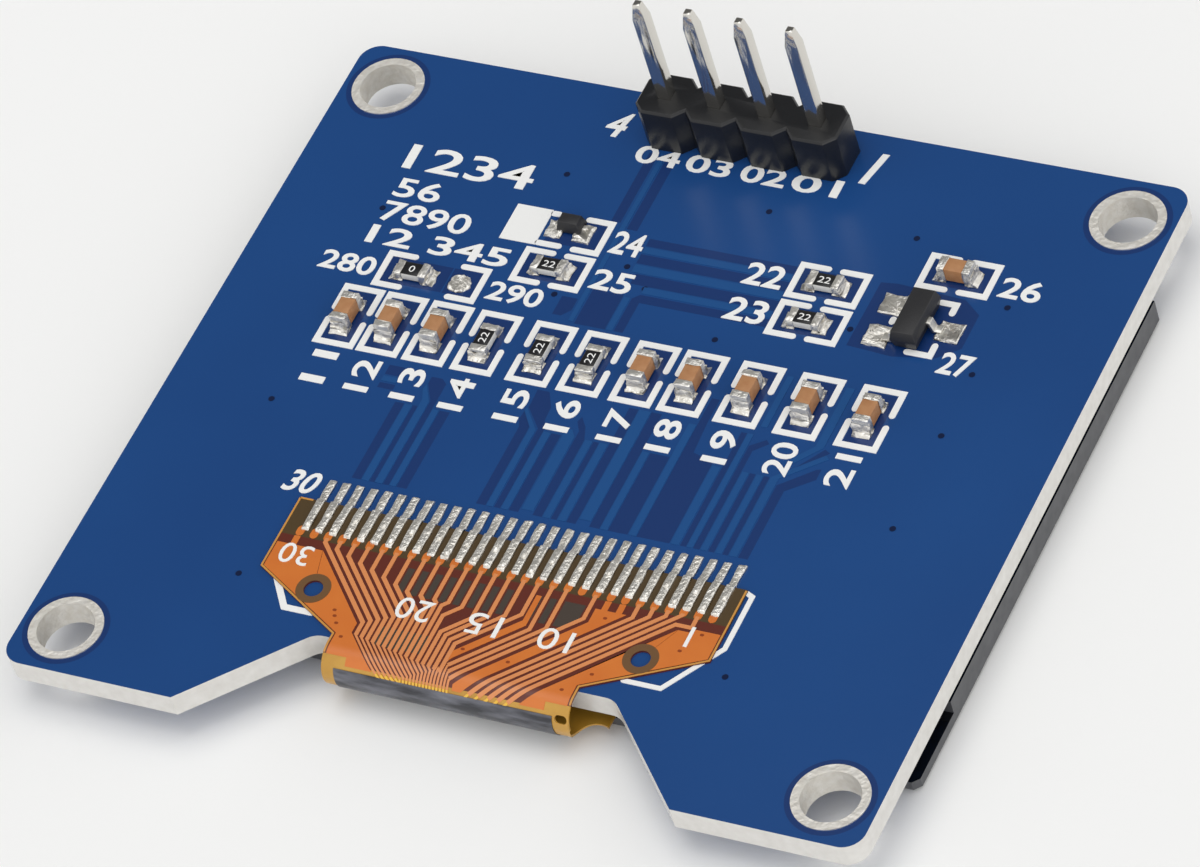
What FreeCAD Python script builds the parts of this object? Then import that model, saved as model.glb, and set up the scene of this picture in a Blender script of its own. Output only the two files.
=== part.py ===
"""A small OLED display module: a circuit board with a glass display panel taped under it.

Millimetres, +Z up. The module lies on its display face, so the board's component side looks up.
The origin is under the middle of the board, on the plane of the display's front. The header is at +Y.
"""
import FreeCAD, Part
import math
import os

V = FreeCAD.Vector

# Display panel, front face down
panel_width = 42.0
panel_height = 27.2
film_thickness = 0.2
front_glass_thickness = 0.5
cap_glass_thickness = 0.75
ledge_depth = 3.95
film_inset = 0.8
glass_corner = 0.3

# Driver die on the glass ledge
die_length = 10.5
die_width = 1.1
die_height = 0.3
die_gap = 0.95

# Adhesive tape between the cap glass and the board
tape_thickness = 0.2
tape_inset = 0.7

# Circuit board
board_thickness = 1.2
end_margin = 5.4
board_corner = 1.0

# Plated mounting holes, each with a tinned ring on both sides
hole_inset_x = 2.25
hole_inset_y = 2.35
hole_bore = 2.7
plating_wall = 0.05
ring_diameter = 3.5
ring_height = 0.05

# Notch in the board for the folded tail, with sides at 45 degrees
notch_gap = 0.55
notch_floor = 14.7
notch_corner = 1.0

# Pin header
pin_count = 4
pin_pitch = 2.54
pin_side = 0.64
pin_tip_side = 0.35
pin_taper = 0.9
pin_rise = 8.5
pin_drop = 1.15
pin_hole = 1.0
header_inset = 1.92
strip_width = 2.5
strip_height = 2.5
strip_chamfer = 0.5
strip_edge = 0.1
joint_base = 1.7
joint_waist = 0.98
joint_height = 0.7

# Flexible tail, soldered on top of the board and folded round the notch to the glass ledge
tail_thickness = 0.1
tail_reach = 6.95
tail_left = -11.55
tail_right = 10.65
shoulder_reach = 2.9
neck_left = -6.57
neck_right = 5.6
neck_reach = 0.17
fold_gap = 0.315
bond_depth = 1.5
bond_right = 6.6
relief_radius = 0.85
relief_x = 6.2
relief_reach = 0.535
sprocket_radius = 0.45
sprocket_left = -8.55
sprocket_right = 7.6
sprocket_reach = 2.27
slot_x = 5.22
slot_length = 0.6
slot_width = 0.4
slot_angle = 61.0

# Dark flexible coating on the outside of the fold
coating_thickness = 0.04
coating_left = -5.95
coating_right = 4.8
coating_start = 56.0
coating_stop = 0.13

# Soldered contacts between the tail and the board
contact_count = 30
contact_pitch = 0.7
contact_middle = -0.3
contact_width = 0.38
board_pad_length = 1.3
tail_pad_length = 1.75
contact_crown = 0.13
contact_toe = 0.1

# Chip capacitors and resistors, and their solder
chip_length = 1.6
chip_width = 0.8
capacitor_height = 0.8
resistor_height = 0.45
cap_length = 0.35
cap_wall = 0.03
solder_layer = 0.05
solder_width = 0.88
solder_outer = 1.1
solder_inner = 0.45
fillet_share = 0.6
fillet_hollow = 0.3

# Places of the chips, from the middle of the board
row_y = 3.12
row_parts = [("capacitor", -14.2), ("capacitor", -11.95), ("capacitor", -9.6), ("resistor", -7.13),
             ("resistor", -4.33), ("resistor", -1.76), ("capacitor", 0.86), ("capacitor", 3.26),
             ("capacitor", 6.05), ("capacitor", 8.98), ("capacitor", 11.96)]
upper_capacitor = (12.56, 11.78)
upper_resistors = [(6.88, 9.88), (6.88, 7.64), (-6.04, 7.87)]
jumper_place = (-12.25, 6.13)
spare_pad_x = -9.9
spare_pad_radius = 0.52
spare_pad_height = 0.14

# Diode in a two-lead package
diode_place = (-6.2, 10.5)
diode_length = 1.2
diode_width = 0.8
diode_height = 0.6
diode_span = 1.6
diode_lead_width = 0.3
diode_lead_thickness = 0.14
diode_pad_y = 10.2
diode_pad_spacing = 1.44
diode_pad_length = 0.82
diode_pad_width = 0.95

# Voltage regulator in a three-lead package
regulator_place = (11.9, 8.62)
regulator_length = 2.9
regulator_width = 1.3
regulator_height = 1.0
regulator_standoff = 0.1
regulator_span = 2.5
regulator_lead_pitch = 1.9
lead_width = 0.42
lead_thickness = 0.13
foot_length = 0.45
regulator_pad = 1.15
regulator_pad_spacing = 3.16
pad_solder_height = 0.12
pad_solder_chamfer = 0.06
mould_draft = 0.12
lead_embed = 0.2

# Levels, counted up from the display's front
glass_bottom = film_thickness
ledge_top = glass_bottom + front_glass_thickness
cap_top = ledge_top + cap_glass_thickness
board_bottom = cap_top + tape_thickness
board_top = board_bottom + board_thickness

# Plan outline, from the middle of the board
board_width = panel_width
board_length = panel_height + 2 * end_margin
half_width = board_width / 2
half_length = board_length / 2
panel_top = half_length - end_margin
panel_bottom = panel_top - panel_height
notch_y = panel_bottom - notch_gap
header_y = half_length - header_inset
hole_x = half_width - hole_inset_x
hole_y = half_length - hole_inset_y


def block(x0, x1, y0, y1, z0, z1):
    return Part.makeBox(x1 - x0, y1 - y0, z1 - z0, V(x0, y0, z0))


def plate(points, z0, z1):
    """A flat plate with straight edges through the points of its outline."""
    outline = Part.makePolygon([V(x, y, z0) for x, y in points + points[:1]])
    return Part.Face(outline).extrude(V(0, 0, z1 - z0))


def upright(shape, low, high):
    """The vertical edges of a shape that lie between two values of y."""
    found = []
    for edge in shape.Edges:
        first, last = (vertex.Point for vertex in edge.Vertexes[:1] + edge.Vertexes[-1:])
        rises = abs(first.z - last.z) > 1e-6 and math.hypot(first.x - last.x, first.y - last.y) < 1e-6
        if rises and low < first.y < high:
            found.append(edge)
    return found


def tapered(length, width, draft, z0, z1):
    """A moulded half: its plan shrinks by the draft on every side from z0 to z1."""
    sections = []
    for z, inset in ((z0, 0), (z1, draft)):
        x = length / 2 - inset
        y = width / 2 - inset
        corners = [V(-x, -y, z), V(x, -y, z), V(x, y, z), V(-x, y, z), V(-x, -y, z)]
        sections.append(Part.makePolygon(corners))
    return Part.makeLoft(sections, True, True)


def placed(shape, place, turn=0):
    """The shape turned about +Z and moved to its place on the board's top."""
    moved = shape.copy()
    moved.rotate(V(0, 0, 0), V(0, 0, 1), turn)
    moved.translate(V(place[0], place[1], board_top))
    return moved


def save(name, *solids):
    shape = solids[0] if len(solids) == 1 else Part.makeCompound(list(solids))
    shape.exportStep("parts/" + name + ".step")


def hole_places():
    return [(x, y) for y in (hole_y, -hole_y) for x in (-hole_x, hole_x)]


def pin_places():
    first = -(pin_count - 1) * pin_pitch / 2
    return [first + i * pin_pitch for i in range(pin_count)]


def circuit_board():
    """The laminate, with its notch, rounded corners, four mounting holes and the header's holes."""
    floor = notch_floor / 2
    mouth = floor + notch_y + half_length
    outline = [(-half_width, -half_length), (-mouth, -half_length), (-floor, notch_y), (floor, notch_y),
               (mouth, -half_length), (half_width, -half_length), (half_width, half_length),
               (-half_width, half_length)]
    board = plate(outline, board_bottom, board_top)
    board = board.makeFillet(notch_corner, upright(board, notch_y - 0.01, notch_y + 0.01))
    corners = [e for e in upright(board, -half_length - 1, half_length + 1)
               if abs(abs(e.Vertexes[0].X) - half_width) < 1e-6]
    board = board.makeFillet(board_corner, corners)
    drill = hole_bore / 2 + plating_wall
    for x, y in hole_places():
        board = board.cut(Part.makeCylinder(drill, board_thickness, V(x, y, board_bottom)))
    for x in pin_places():
        board = board.cut(Part.makeCylinder(pin_hole / 2, board_thickness, V(x, header_y, board_bottom)))
    return board


def plated_hole(x, y):
    """The plating of one mounting hole: a thin barrel with a flat ring at each end."""
    barrel = Part.makeCylinder(hole_bore / 2 + plating_wall, board_thickness, V(x, y, board_bottom))
    upper = Part.makeCylinder(ring_diameter / 2, ring_height, V(x, y, board_top))
    lower = Part.makeCylinder(ring_diameter / 2, ring_height, V(x, y, board_bottom - ring_height))
    bore = Part.makeCylinder(hole_bore / 2, board_thickness + 2 * ring_height,
                             V(x, y, board_bottom - ring_height))
    return barrel.fuse([upper, lower]).cut(bore).removeSplitter()


def header_pin(x):
    """A square pin, tapered to a small flat at its top and chamfered at its tail."""
    half = pin_side / 2
    top = board_top + pin_rise
    tail = board_bottom - pin_drop
    shaft = block(x - half, x + half, header_y - half, header_y + half, tail + half / 2, top - pin_taper)
    ends = []
    for z_full, z_tip in ((top - pin_taper, top), (tail + half / 2, tail)):
        sections = []
        for z, r in ((z_full, half), (z_tip, pin_tip_side / 2)):
            corners = [V(x - r, header_y - r, z), V(x + r, header_y - r, z), V(x + r, header_y + r, z),
                       V(x - r, header_y + r, z), V(x - r, header_y - r, z)]
            sections.append(Part.makePolygon(corners))
        ends.append(Part.makeLoft(sections, True, True))
    return shaft.fuse(ends).removeSplitter()


def header_strip(pins):
    """The moulded strip: one eight-sided cell for each pin, joined in a row, with a broken top edge."""
    c = strip_chamfer
    y0 = header_y - strip_width / 2
    y1 = header_y + strip_width / 2
    cells = []
    for middle in pin_places():
        x0 = middle - pin_pitch / 2
        x1 = middle + pin_pitch / 2
        outline = [(x0, y0 + c), (x0 + c, y0), (x1 - c, y0), (x1, y0 + c),
                   (x1, y1 - c), (x1 - c, y1), (x0 + c, y1), (x0, y1 - c)]
        cells.append(plate(outline, board_top, board_top + strip_height))
    strip = cells[0].fuse(cells[1:]).removeSplitter()
    top = board_top + strip_height
    rim = [e for e in strip.Edges if all(abs(v.Z - top) < 1e-6 for v in e.Vertexes)]
    return strip.makeChamfer(strip_edge, rim).cut(Part.makeCompound(pins))


def header_joint(x, pin):
    """The solder that fills one header hole and stands as a cone round the pin's tail."""
    fill = Part.makeCylinder(pin_hole / 2, board_thickness, V(x, header_y, board_bottom))
    cone = Part.makeCone(joint_waist / 2, joint_base / 2, joint_height,
                         V(x, header_y, board_bottom - joint_height))
    return fill.fuse(cone).cut(pin)


def glass_sheet(y0, z0, z1, cut_corners):
    sheet = block(-panel_width / 2, panel_width / 2, y0, panel_top, z0, z1)
    if cut_corners:
        sheet = sheet.makeChamfer(glass_corner, upright(sheet, y0 - 1, y0 + 1))
    return sheet


def polariser_film():
    edge = panel_width / 2 - film_inset
    low = panel_bottom + ledge_depth + film_inset
    return block(-edge, edge, low, panel_top - film_inset, 0, film_thickness)


def adhesive_tape():
    edge = panel_width / 2 - tape_inset
    low = panel_bottom + ledge_depth + tape_inset
    return block(-edge, edge, low, panel_top - tape_inset, cap_top, board_bottom)


def driver_die():
    y = panel_bottom + ledge_depth - die_gap
    return block(-die_length / 2, die_length / 2, y - die_width, y, ledge_top, ledge_top + die_height)


# The tail's fold is half a tube, from the level of the board's top down to the glass ledge
fold_outer = (board_top + tail_thickness - ledge_top) / 2
fold_inner = fold_outer - tail_thickness
fold_z = ledge_top + fold_outer
fold_y = notch_y - fold_gap


def fold_point(x, radius, angle):
    """A point on the fold: 0 degrees is the top of the bend, 90 its outermost line, 180 the bottom."""
    a = math.radians(angle)
    return V(x, fold_y - radius * math.sin(a), fold_z + radius * math.cos(a))


def bend(x0, x1, inner, outer, start, end):
    """A piece of the bend's tube wall between two angles."""
    middle = (start + end) / 2
    far = Part.Arc(*(fold_point(x0, outer, a) for a in (start, middle, end))).toShape()
    near = Part.Arc(*(fold_point(x0, inner, a) for a in (end, middle, start))).toShape()
    sides = [Part.makeLine(fold_point(x0, outer, end), fold_point(x0, inner, end)),
             Part.makeLine(fold_point(x0, inner, start), fold_point(x0, outer, start))]
    section = Part.Face(Part.Wire([far, sides[0], near, sides[1]]))
    return section.extrude(V(x1 - x0, 0, 0))


def flex_tail():
    """The folded polyimide tail, one sheet: soldered part, neck, bend, and the part bonded to the glass."""
    end_y = notch_y + tail_reach
    shoulder_y = notch_y + shoulder_reach
    neck_y = notch_y + neck_reach
    outline = [(tail_left, end_y), (tail_left, shoulder_y), (neck_left, neck_y), (neck_left, fold_y),
               (neck_right, fold_y), (neck_right, neck_y), (tail_right, shoulder_y), (tail_right, end_y)]
    upper = plate(outline, board_top, board_top + tail_thickness)
    for x in (sprocket_left, sprocket_right):
        place = V(x, notch_y + sprocket_reach, board_top)
        upper = upper.cut(Part.makeCylinder(sprocket_radius, tail_thickness, place))
    turn = bend(neck_left, neck_right, fold_inner, fold_outer, 0, 180)
    lower = block(neck_left, bond_right, fold_y, panel_bottom + bond_depth,
                  ledge_top, ledge_top + tail_thickness)
    relief = Part.makeCylinder(relief_radius, fold_z - ledge_top,
                               V(relief_x, fold_y - relief_reach, ledge_top))
    folded = turn.cut(relief).fuse([upper, lower.cut(relief)]).removeSplitter()
    return folded.cut(tail_slot())


def tail_slot():
    """An oval hole through the upper side of the bend, near its right edge."""
    r = slot_width / 2
    x0 = slot_x - slot_length / 2 + r
    x1 = slot_x + slot_length / 2 - r
    depth = 2 * tail_thickness
    ends = [Part.makeCylinder(r, depth, V(x, 0, 0)) for x in (x0, x1)]
    slot = block(x0, x1, -r, r, 0, depth).fuse(ends).removeSplitter()
    slot.rotate(V(0, 0, 0), V(1, 0, 0), slot_angle)
    slot.translate(fold_point(0, fold_inner - tail_thickness / 2, slot_angle))
    return slot


def fold_coating():
    """The coating follows the outside of the bend and runs on under the tail, almost to the glass."""
    outer = fold_outer + coating_thickness
    shell = bend(coating_left, coating_right, fold_outer, outer, coating_start, 180)
    run = block(coating_left, coating_right, fold_y, panel_bottom - coating_stop,
                ledge_top - coating_thickness, ledge_top)
    return shell.fuse(run).removeSplitter()


def tail_contacts():
    """One bead of solder for each contact: it lies on the board's pad, steps over the tail's edge and
    covers the pad on the tail."""
    edge = notch_y + tail_reach
    top = board_top + tail_thickness
    far = edge + board_pad_length
    near = edge - tail_pad_length
    profile = [(far, board_top), (far - contact_toe, board_top + contact_crown),
               (edge + contact_toe, board_top + contact_crown), (edge, top + contact_crown),
               (near + contact_toe, top + contact_crown), (near, top), (edge, top), (edge, board_top)]
    first = contact_middle - (contact_count - 1) * contact_pitch / 2
    beads = []
    for i in range(contact_count):
        x = first + i * contact_pitch - contact_width / 2
        outline = Part.makePolygon([V(x, y, z) for y, z in profile + profile[:1]])
        beads.append(Part.Face(outline).extrude(V(contact_width, 0, 0)))
    return beads


def chip(height):
    """A ceramic chip lying along X on its solder: the body, and the two metal caps that wrap its ends."""
    x = chip_length / 2
    y = chip_width / 2
    z = solder_layer
    w = cap_wall
    body = block(-x + w, x - w, -y + w, y - w, z + w, z + height - w)
    caps = []
    for side in (-1, 1):
        x0, x1 = sorted((side * x, side * (x - cap_length)))
        caps.append(block(x0, x1, -y, y, z, z + height).cut(body))
    return body, caps


def chip_solder(height, side):
    """The solder under one end of a chip, with a hollow fillet up its end face."""
    x = side * chip_length / 2
    inner = side * solder_inner
    outer = side * solder_outer
    rise = solder_layer + fillet_share * height
    toe = solder_layer / 2
    hollow = (x + (outer - x) * fillet_hollow, toe + (rise - toe) * fillet_hollow)
    profile = [(inner, 0), (outer, 0), (outer, toe), hollow, (x, rise),
               (x, solder_layer), (inner, solder_layer)]
    outline = Part.makePolygon([V(a, -solder_width / 2, z) for a, z in profile + profile[:1]])
    return Part.Face(outline).extrude(V(0, solder_width, 0))


def pad_solder(length, width):
    """A low flat mound of solder on a rectangular pad."""
    mound = block(-length / 2, length / 2, -width / 2, width / 2, 0, pad_solder_height)
    top = [e for e in mound.Edges if all(abs(v.Z - pad_solder_height) < 1e-6 for v in e.Vertexes)]
    return mound.makeChamfer(pad_solder_chamfer, top)


def gull_wing(span, inner_x, level):
    """A flat lead along +X: it leaves the mould at a level, bends down and ends in a foot on the pad."""
    t = lead_thickness
    foot_z = solder_layer
    outer_x = span / 2
    knee = outer_x - foot_length
    profile = [(inner_x, level), (knee - t, level), (knee, foot_z), (outer_x, foot_z),
               (outer_x, foot_z + t), (knee + t, foot_z + t), (knee, level + t), (inner_x, level + t)]
    outline = Part.makePolygon([V(x, -lead_width / 2, z) for x, z in profile + profile[:1]])
    return Part.Face(outline).extrude(V(0, lead_width, 0))


def regulator():
    """Body, leads and solder of the regulator, centred on the origin: two leads at -X and one at +X."""
    parting = regulator_standoff + regulator_height / 2
    top = regulator_standoff + regulator_height
    lower = tapered(regulator_width, regulator_length, mould_draft, parting, regulator_standoff)
    upper = tapered(regulator_width, regulator_length, mould_draft, parting, top)
    inner = regulator_width / 2 - lead_embed
    leads = []
    pads = []
    for side, y in ((-1, regulator_lead_pitch / 2), (-1, -regulator_lead_pitch / 2), (1, 0)):
        lead = gull_wing(regulator_span, inner, parting - lead_thickness / 2)
        lead.rotate(V(0, 0, 0), V(0, 0, 1), 0 if side > 0 else 180)
        lead.translate(V(0, y, 0))
        pad = pad_solder(regulator_pad, regulator_pad)
        pad.translate(V(side * regulator_pad_spacing / 2, y, 0))
        leads.append(lead)
        pads.append(pad.cut(lead))
    body = lower.fuse(upper).removeSplitter().cut(Part.makeCompound(leads))
    return body, leads, pads


def diode():
    """Body and leads of the diode, centred on the origin: two flat leads come out low at the ends."""
    z0 = solder_layer
    parting = z0 + diode_lead_thickness
    top = z0 + diode_height
    foot = block(-diode_length / 2, diode_length / 2, -diode_width / 2, diode_width / 2, z0, parting)
    upper = tapered(diode_length, diode_width, mould_draft, parting, top)
    leads = []
    for side in (-1, 1):
        x0, x1 = sorted((side * diode_span / 2, side * (diode_length / 2 - lead_embed)))
        leads.append(block(x0, x1, -diode_lead_width / 2, diode_lead_width / 2, z0, parting))
    body = foot.fuse(upper).removeSplitter().cut(Part.makeCompound(leads))
    return body, leads


def spare_pad():
    """The tinned pad beside the jumper that holds no part: a round mound with a soft edge."""
    mound = Part.makeCylinder(spare_pad_radius, spare_pad_height)
    rim = [e for e in mound.Edges if all(abs(v.Z - spare_pad_height) < 1e-6 for v in e.Vertexes)]
    return mound.makeChamfer(spare_pad_height / 2, [e for e in rim if e.Length > spare_pad_radius])


def build():
    os.makedirs("parts", exist_ok=True)
    save("circuit_board", circuit_board())
    for i, (x, y) in enumerate(hole_places(), 1):
        save("plated_hole_%d" % i, plated_hole(x, y))
    pins = [header_pin(x) for x in pin_places()]
    for i, pin in enumerate(pins, 1):
        save("header_pin_%d" % i, pin)
    save("header_strip", header_strip(pins))
    save("header_solder", *[header_joint(x, pin) for x, pin in zip(pin_places(), pins)])

    save("polariser_film", polariser_film())
    save("front_glass", glass_sheet(panel_bottom, glass_bottom, ledge_top, True))
    save("cap_glass", glass_sheet(panel_bottom + ledge_depth, ledge_top, cap_top, False))
    save("driver_die", driver_die())
    save("adhesive_tape", adhesive_tape())

    save("flex_tail", flex_tail())
    save("fold_coating", fold_coating())
    save("tail_solder", *tail_contacts())

    solder = []
    counts = {"capacitor": 0, "resistor": 0}

    def chip_part(kind, place, turn):
        """Saves one chip's body and caps, and keeps its solder for the shared node."""
        height = capacitor_height if kind == "capacitor" else resistor_height
        counts[kind] += 1
        name = "%s_%d" % (kind, counts[kind])
        body, caps = chip(height)
        save(name + "_body", placed(body, place, turn))
        save(name + "_ends", *[placed(cap, place, turn) for cap in caps])
        solder.extend(placed(chip_solder(height, side), place, turn) for side in (-1, 1))

    for kind, x in row_parts:
        chip_part(kind, (x, row_y), 90)
    chip_part("capacitor", upper_capacitor, 0)
    for place in upper_resistors:
        chip_part("resistor", place, 0)
    chip_part("resistor", jumper_place, 0)
    solder.append(placed(spare_pad(), (spare_pad_x, jumper_place[1])))

    body, leads, pads = regulator()
    save("regulator_body", placed(body, regulator_place))
    save("regulator_leads", *[placed(lead, regulator_place) for lead in leads])
    solder.extend(placed(pad, regulator_place) for pad in pads)
    body, leads = diode()
    save("diode_body", placed(body, diode_place))
    save("diode_leads", *[placed(lead, diode_place) for lead in leads])
    seated = Part.makeCompound([placed(piece, diode_place) for piece in [body] + leads])
    for side in (-1, 1):
        pad_place = (diode_place[0] + side * diode_pad_spacing / 2, diode_pad_y)
        solder.append(placed(pad_solder(diode_pad_length, diode_pad_width), pad_place).cut(seated))
    save("chip_solder", *solder)


build()
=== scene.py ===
"""A small OLED display module, lying on its display with the component side up.

The solids come from model.glb in metres. New pieces are drawn in millimetres, over the same origin: the
middle of the board, on the plane of the display's front, with the pin header at +Y and +Z up.
"""

import math

import bmesh
import bpy
from mathutils import Matrix, Vector, noise


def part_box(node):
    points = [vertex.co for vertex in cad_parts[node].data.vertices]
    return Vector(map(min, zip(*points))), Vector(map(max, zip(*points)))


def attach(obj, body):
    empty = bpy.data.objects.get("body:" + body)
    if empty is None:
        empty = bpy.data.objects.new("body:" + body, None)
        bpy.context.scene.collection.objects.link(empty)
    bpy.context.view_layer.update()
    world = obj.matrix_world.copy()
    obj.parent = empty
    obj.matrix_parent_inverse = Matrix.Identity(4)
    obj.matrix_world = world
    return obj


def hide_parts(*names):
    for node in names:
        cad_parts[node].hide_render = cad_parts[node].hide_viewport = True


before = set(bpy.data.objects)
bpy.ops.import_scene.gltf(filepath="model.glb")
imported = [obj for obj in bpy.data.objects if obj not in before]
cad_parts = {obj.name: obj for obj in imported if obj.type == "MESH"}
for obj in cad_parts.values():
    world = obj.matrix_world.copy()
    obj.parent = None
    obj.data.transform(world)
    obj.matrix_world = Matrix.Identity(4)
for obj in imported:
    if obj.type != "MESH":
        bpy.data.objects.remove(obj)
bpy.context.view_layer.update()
bpy.ops.object.select_all(action="DESELECT")

MM = 0.001


# The stage is a pale sheet under the module. A long lens looks down over its front right corner, and
# a white tent stands all round, with one dark side that keeps the gloss of the mask deep in colour.
def linear(code):
    """A hex colour as linear light."""
    parts = [int(code[i:i + 2], 16) / 255 for i in (1, 3, 5)]
    return [c / 12.92 if c <= 0.04045 else ((c + 0.055) / 1.055) ** 2.4 for c in parts] + [1.0]


def add_node(owner, kind, settings=None, **inputs):
    """Adds a node, sets its own settings, and fills its inputs: a socket is linked, a value is set."""
    made = owner.node_tree.nodes.new(kind)
    for key, value in (settings or {}).items():
        setattr(made, key, value)
    for key, value in inputs.items():
        name = key.replace("_", " ")
        socket = made.inputs[int(name[1:])] if name[1:].isdigit() else made.inputs[name]
        if isinstance(value, bpy.types.NodeSocket):
            owner.node_tree.links.new(value, socket)
        else:
            socket.default_value = value
    return made


def new_finish(name, colour, roughness, metallic=0.0, **constants):
    """A material and its shader, whose constant values sit on its own sockets."""
    material = bpy.data.materials.new(name)
    material.use_nodes = True
    shader = material.node_tree.nodes["Principled BSDF"]
    shader.inputs["Base Color"].default_value = linear(colour)
    shader.inputs["Roughness"].default_value = roughness
    shader.inputs["Metallic"].default_value = metallic
    for key, value in constants.items():
        shader.inputs[key.replace("_", " ")].default_value = value
    return material, shader


def join(owner, source, target):
    owner.node_tree.links.new(source, target)


def place_of(material):
    """The surface point in the object's own space, in metres from the middle of the board."""
    return add_node(material, "ShaderNodeTexCoord").outputs["Object"]


def grain_of(material, size, detail=2.0):
    """Soft noise with spots of a size in millimetres."""
    return add_node(material, "ShaderNodeTexNoise", Vector=place_of(material), Scale=1 / (size * MM),
                    Detail=detail).outputs["Fac"]


def roughen(material, shader, size, depth, detail=2.0):
    """Unevenness of the surface: bumps of a size and a depth in millimetres."""
    bump = add_node(material, "ShaderNodeBump", Height=grain_of(material, size, detail), Strength=1.0,
                    Distance=depth * MM)
    join(material, bump.outputs["Normal"], shader.inputs["Normal"])


bpy.ops.mesh.primitive_plane_add(size=3.0, location=(0, 0, 0))
table = bpy.context.active_object
table.name = "table_top"
paper, paper_shader = new_finish("white_paper_matt", "#F7F7F6", roughness=0.9)
roughen(paper, paper_shader, size=0.8, depth=0.01)
table.data.materials.append(paper)

lens = bpy.data.cameras.new("camera")
lens.lens = 227.3
lens.sensor_width = 36.0
lens.sensor_fit = "HORIZONTAL"
lens.clip_start = 0.01
camera = bpy.data.objects.new("camera", lens)
camera_right = Vector((0.88357, 0.41046, -0.22543))
camera_up = Vector((-0.17789, 0.73949, 0.64924))
camera_back = camera_right.cross(camera_up).normalized()
camera_place = Vector((144.79, -178.44, 245.12)) * MM
camera.matrix_world = (Matrix.Translation(camera_place)
                       @ Matrix((camera_right, camera_up, camera_back)).transposed().to_4x4())
bpy.context.collection.objects.link(camera)
bpy.context.scene.camera = camera

tent = bpy.data.worlds.new("white_tent")
tent.use_nodes = True
tent_light = 0.95
dark_side = Vector((-0.43, 0.53, 0.73)).normalized()
dark_light = 0.14
towards = add_node(tent, "ShaderNodeTexCoord").outputs["Generated"]
nearness = add_node(tent, "ShaderNodeVectorMath", {"operation": "DOT_PRODUCT"}, _0=towards,
                    _1=dark_side)
strength = add_node(tent, "ShaderNodeMapRange", {"interpolation_type": "SMOOTHSTEP"},
                    Value=nearness.outputs["Value"], From_Min=0.55, From_Max=0.95, To_Min=tent_light,
                    To_Max=dark_light)
tent_shader = tent.node_tree.nodes["Background"]
tent_shader.inputs["Color"].default_value = linear("#FFFFFF")
join(tent, strength.outputs["Result"], tent_shader.inputs["Strength"])
bpy.context.scene.world = tent
bpy.context.scene.view_settings.view_transform = "Standard"


def soft_box(name, place, size, power):
    """A square lamp that faces the middle of the module."""
    lamp = bpy.data.lights.new(name, "AREA")
    lamp.size = size
    lamp.energy = power
    holder = bpy.data.objects.new(name, lamp)
    holder.location = place
    holder.rotation_euler = (-Vector(place)).to_track_quat("-Z", "Y").to_euler()
    bpy.context.collection.objects.link(holder)


soft_box("top_light", (-0.1, 0.05, 0.7), size=0.5, power=1.3)
soft_box("side_light", (0.6, -0.45, 0.35), size=0.5, power=0.9)


# The circuit board is glass-fibre laminate, pale where it is cut, under a coat of blue solder mask
# that is printed wet and cured, so it is smooth and glossy with a slight unevenness.
def blend_colours(material, factor, first, second):
    """Two colours mixed by a factor; each is a hex code or a socket."""
    ends = [linear(c) if isinstance(c, str) else c for c in (first, second)]
    return add_node(material, "ShaderNodeMix", {"data_type": "RGBA"}, _0=factor, _6=ends[0],
                    _7=ends[1]).outputs[2]


def reckon(material, operation, first, second=0.0):
    """One sum or comparison."""
    return add_node(material, "ShaderNodeMath", {"operation": operation}, _0=first,
                    _1=second).outputs[0]


def dress(node_name, material):
    """Gives a CAD node its finish."""
    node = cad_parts[node_name]
    node.data.materials.clear()
    node.data.materials.append(material)


mask_finish, mask_shader = new_finish("solder_mask_blue_gloss", "#1B4680", roughness=0.22, IOR=1.5)
facing = add_node(mask_finish, "ShaderNodeSeparateXYZ",
                  Vector=add_node(mask_finish, "ShaderNodeNewGeometry").outputs["Normal"])
tilt = reckon(mask_finish, "ABSOLUTE", facing.outputs["Z"])
flat_side = reckon(mask_finish, "GREATER_THAN", tilt, 0.5)
mask_tone = blend_colours(mask_finish, grain_of(mask_finish, 11.0), "#133F79", "#184986")
cut_tone = blend_colours(mask_finish, grain_of(mask_finish, 0.5), "#C9C6C0", "#E2E0DC")
join(mask_finish, blend_colours(mask_finish, flat_side, cut_tone, mask_tone),
     mask_shader.inputs["Base Color"])
roughen(mask_finish, mask_shader, size=0.9, depth=0.004)
dress("circuit_board", mask_finish)


# The wiring is etched in copper foil and lies under the mask: bare laminate between the tracks shows
# as dark blue gaps, and the tracks between them stand up a little and look lighter.
def only(piece):
    """Selects one object and makes it the active one."""
    bpy.ops.object.select_all(action="DESELECT")
    piece.select_set(True)
    bpy.context.view_layer.objects.active = piece


def cut_sheet(name, outlines, low, high):
    """Flat shapes of one thickness: each outline is filled and extruded upwards, in millimetres."""
    mesh = bpy.data.meshes.new(name)
    drawing = bmesh.new()
    for outline in outlines:
        drawing.faces.new([drawing.verts.new((x, y, low)) for x, y in outline])
    drawing.to_mesh(mesh)
    drawing.free()
    piece = bpy.data.objects.new(name, mesh)
    bpy.context.collection.objects.link(piece)
    only(piece)
    bpy.ops.object.mode_set(mode="EDIT")
    bpy.ops.mesh.select_all(action="SELECT")
    bpy.ops.mesh.extrude_region_move(TRANSFORM_OT_translate={"value": (0, 0, high - low)})
    bpy.ops.mesh.select_all(action="SELECT")
    bpy.ops.mesh.normals_make_consistent(inside=False)
    bpy.ops.object.mode_set(mode="OBJECT")
    return piece


def finish_piece(piece, material):
    """Brings a piece from millimetres to its real size, and gives it its finish and body."""
    only(piece)
    piece.scale = piece.scale * MM
    piece.location = piece.location * MM
    bpy.ops.object.transform_apply(location=True, rotation=True, scale=True)
    piece.data.materials.clear()
    piece.data.materials.append(material)
    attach(piece, "root")


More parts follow.
